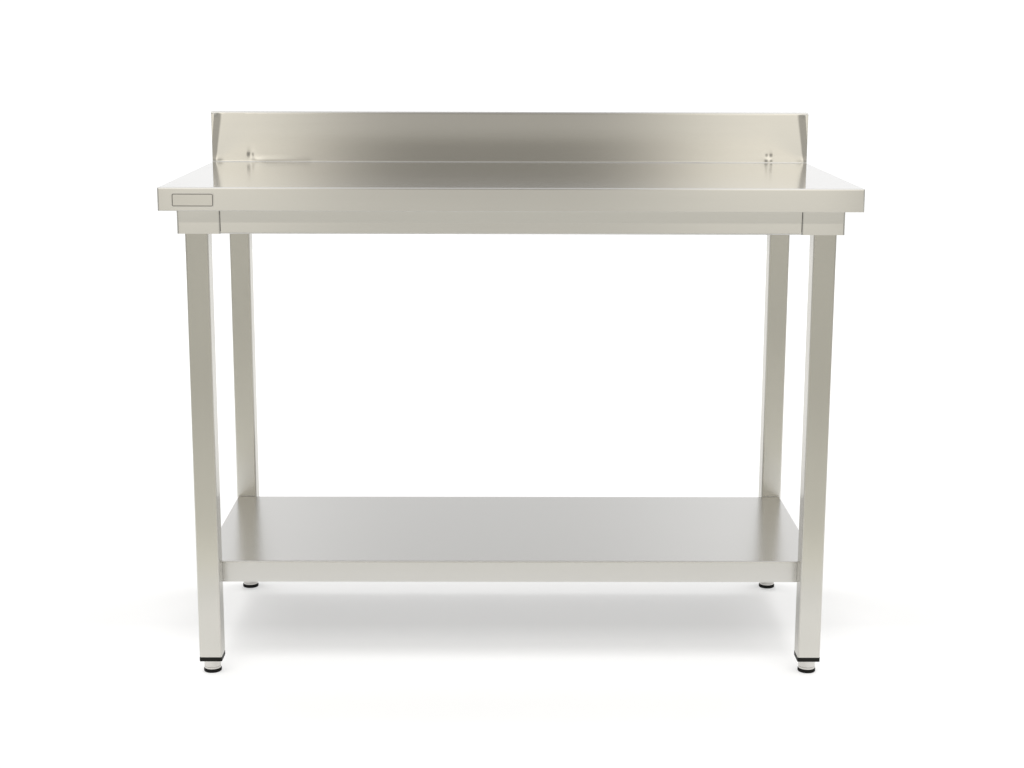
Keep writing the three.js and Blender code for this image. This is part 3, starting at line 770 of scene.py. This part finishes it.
def levelling_foot(corner):
    """The turned cup and its threaded stud, and the rubber pad under it."""
    node = "foot_stud_" + corner
    low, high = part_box(node)
    middle = ((low[0] + high[0]) / 2, (low[1] + high[1]) / 2)
    cup_radius = (high[0] - low[0]) / 2
    cup_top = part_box("leg_cap_" + corner)[0][2] - CUP_GAP
    groove = low[2] + CUP_GROOVE_RISE
    core_radius = STUD_RADIUS - THREAD_DEPTH
    profile = [(CUP_BORE_RADIUS, low[2] + CUP_BORE_DEPTH), (CUP_BORE_RADIUS, low[2])]
    profile += rounded(cup_radius, low[2], CUP_FOOT_ROUNDING, 0)
    profile += [(cup_radius - depth, groove + rise) for depth, rise in CUP_GROOVE]
    profile += rounded(cup_radius, cup_top, CUP_TOP_ROUNDING, 1)
    profile += [(STUD_RADIUS + COLLAR_WIDTH, cup_top), (core_radius, cup_top + COLLAR_RISE)]
    shape = bmesh.new()
    rings = [ring_at(shape, radius, z) for radius, z in profile]
    rings += threaded_rings(shape, cup_top, high[2])
    rings.append(ring_at(shape, core_radius - STUD_TIP, high[2]))
    turned_rings(shape, rings, middle)
    add_piece("levelling_stud_" + corner, shape, node, "polished", POLISHED)

    node = "foot_pad_" + corner
    low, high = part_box(node)
    radius = (high[0] - low[0]) / 2
    top = high[2] - PEG_HEIGHT
    profile = [(radius * PAD_HOLLOW, low[2] + PAD_HOLLOW_DEPTH), (radius * PAD_HOLLOW_RIM, low[2])]
    profile += rounded(radius, low[2], PAD_FOOT_ROUNDING, 0)
    profile += rounded(radius, top, PAD_TOP_ROUNDING, 1)
    profile += [(PEG_RADIUS, top), (PEG_RADIUS, high[2])]
    shape = bmesh.new()
    turned_rings(shape, [ring_at(shape, r, z) for r, z in profile], middle)
    add_piece("rubber_pad_" + corner, shape, node, "rubber", RUBBER)


# ---------------------------------------------------------------- studio

def floor():
    """A pale studio floor with painted light: a glow of its own that lightens the shadow under the table and
    is dimmest in front of the table.
    """
    turns = [2 * math.pi * i / FLOOR_CORNERS for i in range(FLOOR_CORNERS)]
    corners = [(FLOOR_RADIUS * math.cos(a), FLOOR_RADIUS * math.sin(a), 0.0) for a in turns]
    mesh = bpy.data.meshes.new("studio_floor")
    mesh.from_pydata(corners, [], [range(FLOOR_CORNERS)])
    plane = linked("studio_floor", mesh)
    plane.location.z = -FLOOR_DROP

    material, shader = new_material("studio_floor")
    graph = Graph(material.node_tree)
    place = graph.place()
    from_front = graph.split(place)[1]
    mottle = graph.noise(place, MOTTLE_SCALE, detail=3.0)
    tone = graph.remap(mottle, 0.0, 1.0, FLOOR_COLOUR - FLOOR_MOTTLE, FLOOR_COLOUR + FLOOR_MOTTLE)
    unwarmed = graph.smooth(from_front, *FLOOR_WARM_END)
    warmth = graph.mix_colour(unwarmed, rgba(FLOOR_WARMTH), rgba((1.0, 1.0, 1.0)))
    graph.feed(shader.inputs["Base Color"], graph.scaled(warmth, tone))
    # Painted light: the glow by its place in Y lightens the shadow under the table and keeps dim the floor
    # that the steel mirrors in front of it.
    near, far = FLOOR_PAINTED_GLOW[0][0], FLOOR_PAINTED_GLOW[-1][0]
    stops = [((y - near) / (far - near), painted_glow) for y, painted_glow in FLOOR_PAINTED_GLOW]
    painted_glow = graph.ramp(graph.remap(from_front, near, far, 0.0, 1.0), stops)
    graph.feed(shader.inputs["Emission Color"], graph.vector("MULTIPLY", painted_glow, warmth))
    shader.inputs["Emission Strength"].default_value = 1.0
    shader.inputs["Roughness"].default_value = FLOOR_ROUGHNESS
    shader.inputs["Specular IOR Level"].default_value = FLOOR_SPECULAR
    plane.data.materials.append(material)


def world():
    """A white studio with a darker band down the middle, in front of the table and over it."""
    surround = bpy.data.worlds.new("studio")
    bpy.context.scene.world = surround
    surround.use_nodes = True
    tree = surround.node_tree
    tree.nodes.clear()
    graph = Graph(tree)
    x, y, z = graph.split(graph.put("ShaderNodeTexCoord").outputs["Generated"])
    turns = graph.math("DIVIDE", graph.math("ARCTAN2", z, graph.math("MULTIPLY", y, -1.0)), 2 * math.pi)
    aside = graph.math("ABSOLUTE", x)
    from_middle = graph.math("ABSOLUTE", graph.math("SUBTRACT", x, BAND_MIDDLE))
    wide = graph.math("POWER", graph.math("DIVIDE", from_middle, BAND_WIDTH), BAND_SHARPNESS)
    profile = graph.math("EXPONENT", graph.math("MULTIPLY", wide, -1.0))
    band = graph.math("MULTIPLY", graph.by_turns(turns, BAND), profile)
    beside = graph.smooth(aside, FLANK_START, FLANK_END)
    flank = graph.math("MULTIPLY", graph.by_turns(turns, FLANK), beside)
    light = graph.math("MULTIPLY", graph.math("SUBTRACT", 1.0, band), graph.math("SUBTRACT", 1.0, flank))
    around = graph.scaled(graph.by_turns(turns, SURROUND), light)
    sides = graph.smooth(aside, SIDE_START, SIDE_END)
    studio = graph.put("ShaderNodeBackground")
    graph.feed(studio.inputs["Color"], graph.mix_colour(sides, around, rgba(SIDE_COLOUR)))
    output = graph.put("ShaderNodeOutputWorld")
    tree.links.new(studio.outputs[0], output.inputs["Surface"])


def soft_light(name, place, target, size, power):
    """A lamp that is not mirrored in the steel, where it would leave hard spots in the narrow folds."""
    data = bpy.data.lights.new(name, "AREA")
    data.shape = "RECTANGLE"
    data.size, data.size_y = size
    data.energy = power
    light = linked(name, data)
    light.location = place
    light.rotation_euler = (Vector(target) - Vector(place)).to_track_quat("-Z", "Y").to_euler()
    light.visible_glossy = False


def camera():
    """The camera of the photograph."""
    data = bpy.data.cameras.new("view")
    data.lens = FOCAL_LENGTH
    data.sensor_width = SENSOR_WIDTH
    data.clip_end = VIEW_END
    eye = linked("view", data)
    turn = (Matrix.Rotation(-CAMERA_YAW, 4, "Z") @ Matrix.Rotation(math.pi / 2 - CAMERA_PITCH, 4, "X")
            @ Matrix.Rotation(-CAMERA_ROLL, 4, "Z"))
    eye.matrix_world = Matrix.Translation(CAMERA_PLACE) @ turn
    bpy.context.scene.camera = eye


camera()
world()
floor()
for side, name in ((-1, "left"), (1, "right")):
    for start, (x, y, z), (aim_x, aim_y, aim_z), size, power in LAMPS:
        soft_light(start + name, (side * x, y, z), (side * aim_x, aim_y, aim_z), size, power)
dress_cad_nodes()
worktop()
creased_front("front_rail", "front_apron", STEEL_X)
for name in ("left", "right"):
    creased_front("side_channel_" + name, "end_channel_" + name, STEEL_X)
badge()
for corner in ("front_left", "front_right", "rear_left", "rear_right"):
    levelling_foot(corner)
bpy.context.scene.view_settings.view_transform = "Standard"
